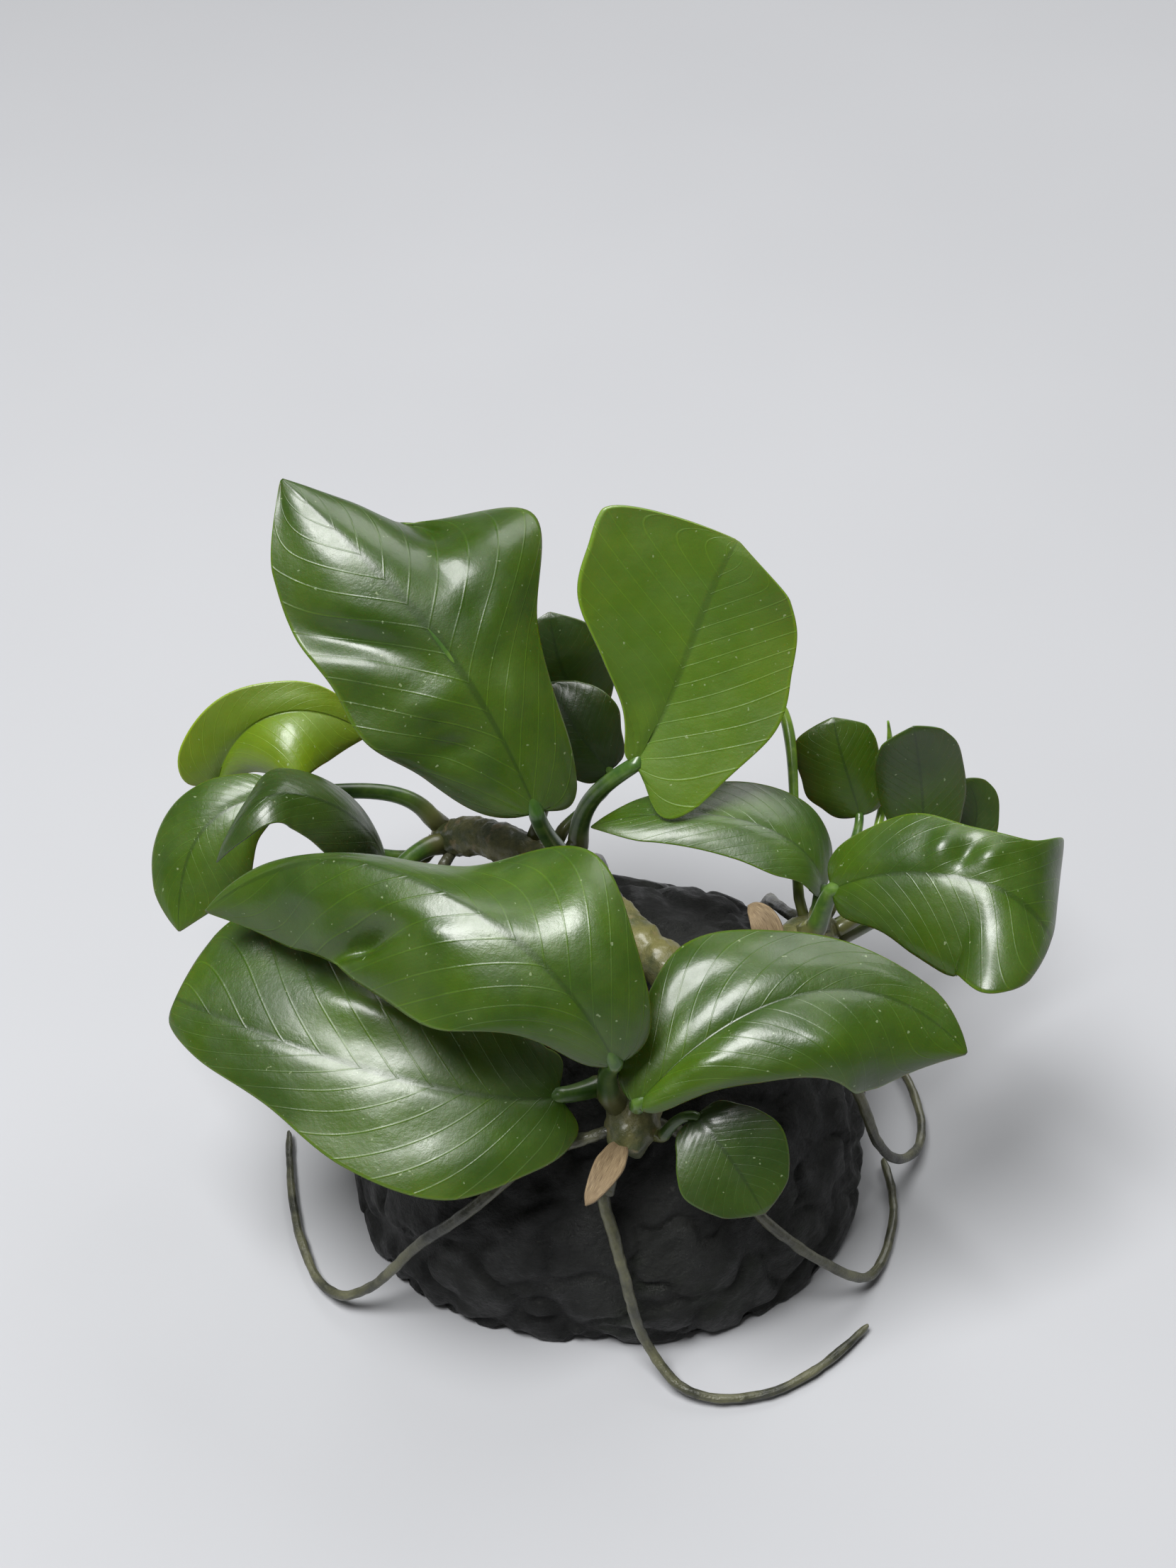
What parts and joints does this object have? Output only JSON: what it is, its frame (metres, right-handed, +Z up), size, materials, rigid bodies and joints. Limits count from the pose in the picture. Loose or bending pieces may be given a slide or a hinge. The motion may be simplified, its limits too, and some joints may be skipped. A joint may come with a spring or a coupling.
{
  "type": "anubias on stone",
  "caption": "Small-leaved anubias rooted on a dark rounded stone: a creeping rhizome, glossy leathery leaves on short stalks, young shoots and clinging roots.",
  "frame": {"origin": "on the stone's flat underside, under the middle of the plant", "axes": "+Z up from the surface the stone rests on; +X to the plant's right and +Y to its back, as seen from the front"},
  "size_m": [0.1128, 0.081, 0.09],
  "materials": {
    "leaf_green": "glossy leathery leaf, mid green, wet",
    "leaf_young": "thin young leaf, yellow green, lets light through",
    "leaf_deep": "older shaded leaf, deep green",
    "rhizome": "fleshy green-brown rhizome with leaf scars",
    "root": "wet olive-grey roots",
    "sheath": "dry straw-coloured leaf sheath",
    "stone": "wet black rough stone"
  },
  "bodies": {
    "root": {"stone": "stone", "rhizome_main": "rhizome", "rhizome_back_fork": "rhizome", "leaf_back_left_large": "leaf_green", "leaf_back_right_large": "leaf_green", "leaf_centre_large": "leaf_green", "leaf_front_left_large": "leaf_green", "leaf_front_right_large": "leaf_green", "leaf_right": "leaf_green", "leaf_middle": "leaf_green", "leaf_left_rear": "leaf_young", "leaf_left_round": "leaf_green", "leaf_left_curled": "leaf_deep", "leaf_rear_upper": "leaf_deep", "leaf_rear_lower": "leaf_deep", "leaf_right_rear_round": "leaf_green", "leaf_right_rear_upright": "leaf_deep", "leaf_right_rear_small": "leaf_deep", "leaf_front_lower": "leaf_deep", "shoot_rear": "leaf_young", "shoot_new": "leaf_young", "sheath_right": "sheath", "sheath_front": "sheath", "root_front_left": "root", "root_front": "root", "root_front_right": "root", "root_right": "root", "root_rear_right": "root", "root_rear": "root", "root_left": "root"}
  },
  "joints": []
}
